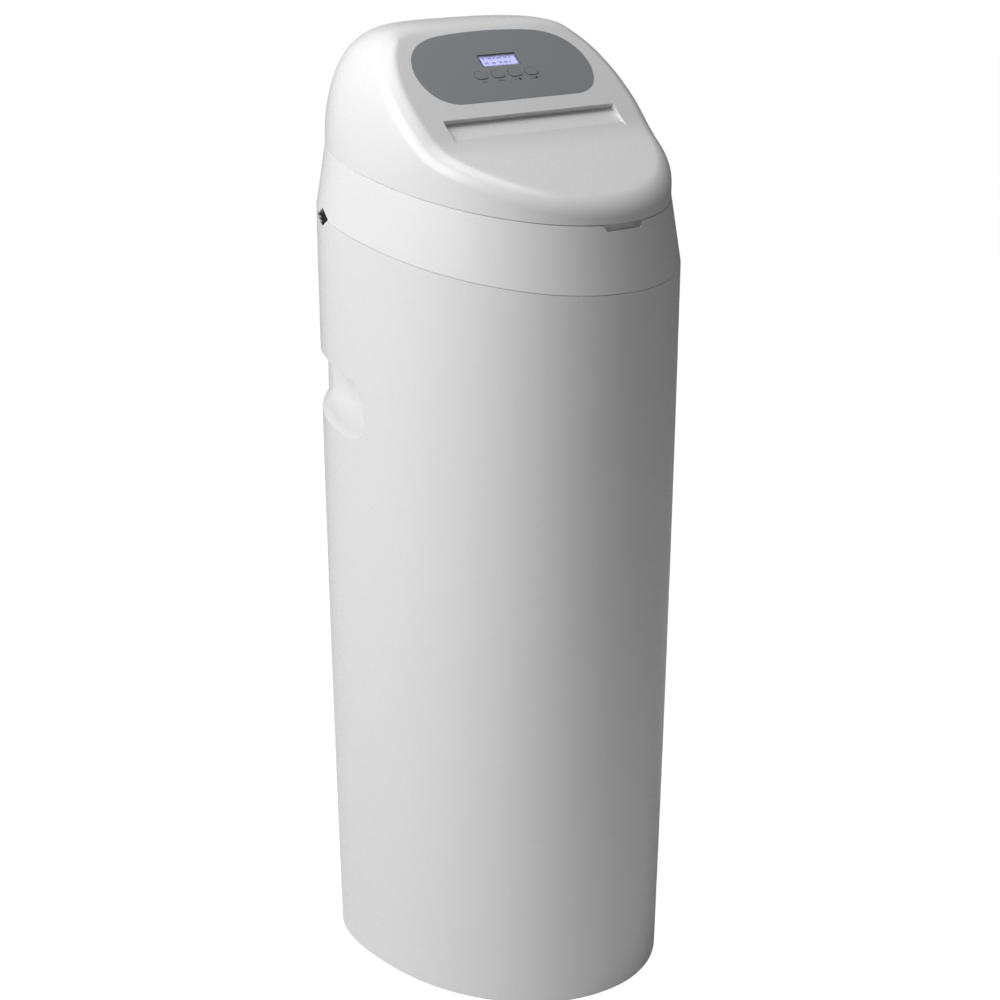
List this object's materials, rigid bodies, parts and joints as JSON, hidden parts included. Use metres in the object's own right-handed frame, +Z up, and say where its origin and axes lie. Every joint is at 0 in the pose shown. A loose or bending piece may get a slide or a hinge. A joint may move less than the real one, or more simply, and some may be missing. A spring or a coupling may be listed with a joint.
{
  "type": "cabinet water softener",
  "caption": "Free-standing cabinet water softener with a hinged sloping hood, push buttons, control valve, bypass and brine well.",
  "frame": {"origin": "on the floor, in the middle of the casing's overall outline", "axes": "+Z up, +Y to the back where the pipes leave, +X to the right seen from the front"},
  "size_m": [0.3781, 0.4258, 1.1293],
  "materials": {
    "white_plastic": "satin",
    "grey_film": "satin",
    "grey_key": "matte",
    "clear_window": "gloss",
    "display_glass": "gloss",
    "board_green": "satin",
    "black_plastic": "matte",
    "steel": "brushed",
    "vessel_fibre": "satin",
    "resin": "matte",
    "valve_plastic": "satin",
    "gear_plastic": "satin",
    "handle_red": "satin",
    "pipe_plastic": "satin",
    "brine_tube": "satin",
    "well_plastic": "satin"
  },
  "bodies": {
    "casing": {"cabinet": "white_plastic", "base_feet": "black_plastic", "collar": "white_plastic", "collar_screws": "steel", "hinge_pins": "steel", "resin_vessel": "vessel_fibre", "vessel_boot": "black_plastic", "lower_strainer": "valve_plastic", "resin_bed": "resin", "riser_tube": "valve_plastic", "valve_body": "valve_plastic", "valve_cover": "black_plastic", "valve_cover_screws": "steel", "motor_plate": "black_plastic", "gear_motor": "black_plastic", "meter_cage": "valve_plastic", "bypass_body": "valve_plastic", "inlet_tail": "pipe_plastic", "outlet_tail": "pipe_plastic", "tail_nuts": "valve_plastic", "drain_elbow": "pipe_plastic", "brine_line": "brine_tube", "brine_well": "well_plastic", "brine_valve": "pipe_plastic", "overflow_elbow": "pipe_plastic", "overflow_nut": "pipe_plastic", "power_inlet": "black_plastic"},
    "lid": {"hood": "white_plastic", "control_overlay": "grey_film", "display_window": "clear_window", "display_module": "display_glass", "circuit_board": "board_green", "key_switches": "black_plastic", "electronics_cover": "black_plastic", "electronics_screws": "steel"},
    "key_1": {"button_1": "grey_key"},
    "key_2": {"button_2": "grey_key"},
    "key_3": {"button_3": "grey_key"},
    "key_4": {"button_4": "grey_key"},
    "rotor": {"valve_rotor": "gear_plastic", "drive_gear": "gear_plastic"},
    "pinion": {"drive_pinion": "gear_plastic"},
    "meter": {"meter_rotor": "gear_plastic"},
    "inlet_tap": {"inlet_plug": "valve_plastic", "inlet_handle": "handle_red"},
    "outlet_tap": {"outlet_plug": "valve_plastic", "outlet_handle": "handle_red"},
    "float": {"safety_float": "pipe_plastic"},
    "cap": {"well_cap": "pipe_plastic"}
  },
  "joints": [
    {"name": "hood_hinge", "type": "hinge", "parent": "casing", "child": "lid", "pos_m": [0, 0.207, 1.0015], "axis": [-1, 0, 0], "range_deg": [0, 80]},
    {"name": "cap_lift", "type": "slide", "parent": "casing", "child": "cap", "axis": [0, 0, 1], "range_m": [0, 0.06]},
    {"name": "float_slide", "type": "slide", "parent": "casing", "child": "float", "axis": [0, 0, 1], "range_m": [0, 0.2]},
    {"name": "inlet_tap_turn", "type": "hinge", "parent": "casing", "child": "inlet_tap", "pos_m": [-0.032, 0.175, 0.868], "axis": [0, 0, 1], "range_deg": [0, 90]},
    {"name": "outlet_tap_turn", "type": "hinge", "parent": "casing", "child": "outlet_tap", "pos_m": [0.032, 0.175, 0.868], "axis": [0, 0, 1], "range_deg": [0, 90]},
    {"name": "rotor_turn", "type": "hinge", "parent": "casing", "child": "rotor", "pos_m": [0, 0.085, 0.858], "axis": [0, 0, 1], "continuous": true},
    {"name": "pinion_turn", "type": "hinge", "parent": "casing", "child": "pinion", "pos_m": [0, 0.045, 0.876], "axis": [0, 0, 1], "continuous": true},
    {"name": "meter_turn", "type": "hinge", "parent": "casing", "child": "meter", "pos_m": [0.032, 0.14, 0.835], "axis": [0, 1, 0], "continuous": true},
    {"name": "button_1_press", "type": "slide", "parent": "lid", "child": "key_1", "axis": [0, 0.682, -0.7314], "range_m": [0, 0.0008], "stiffness_N_per_m": 800, "springref_m": -0.0003},
    {"name": "button_2_press", "type": "slide", "parent": "lid", "child": "key_2", "axis": [0, 0.682, -0.7314], "range_m": [0, 0.0008], "stiffness_N_per_m": 800, "springref_m": -0.0003},
    {"name": "button_3_press", "type": "slide", "parent": "lid", "child": "key_3", "axis": [0, 0.682, -0.7314], "range_m": [0, 0.0008], "stiffness_N_per_m": 800, "springref_m": -0.0003},
    {"name": "button_4_press", "type": "slide", "parent": "lid", "child": "key_4", "axis": [0, 0.682, -0.7314], "range_m": [0, 0.0008], "stiffness_N_per_m": 800, "springref_m": -0.0003}
  ],
  "couplings": [
    {"joint": "pinion_turn", "follows": "rotor_turn", "ratio": -3}
  ]
}
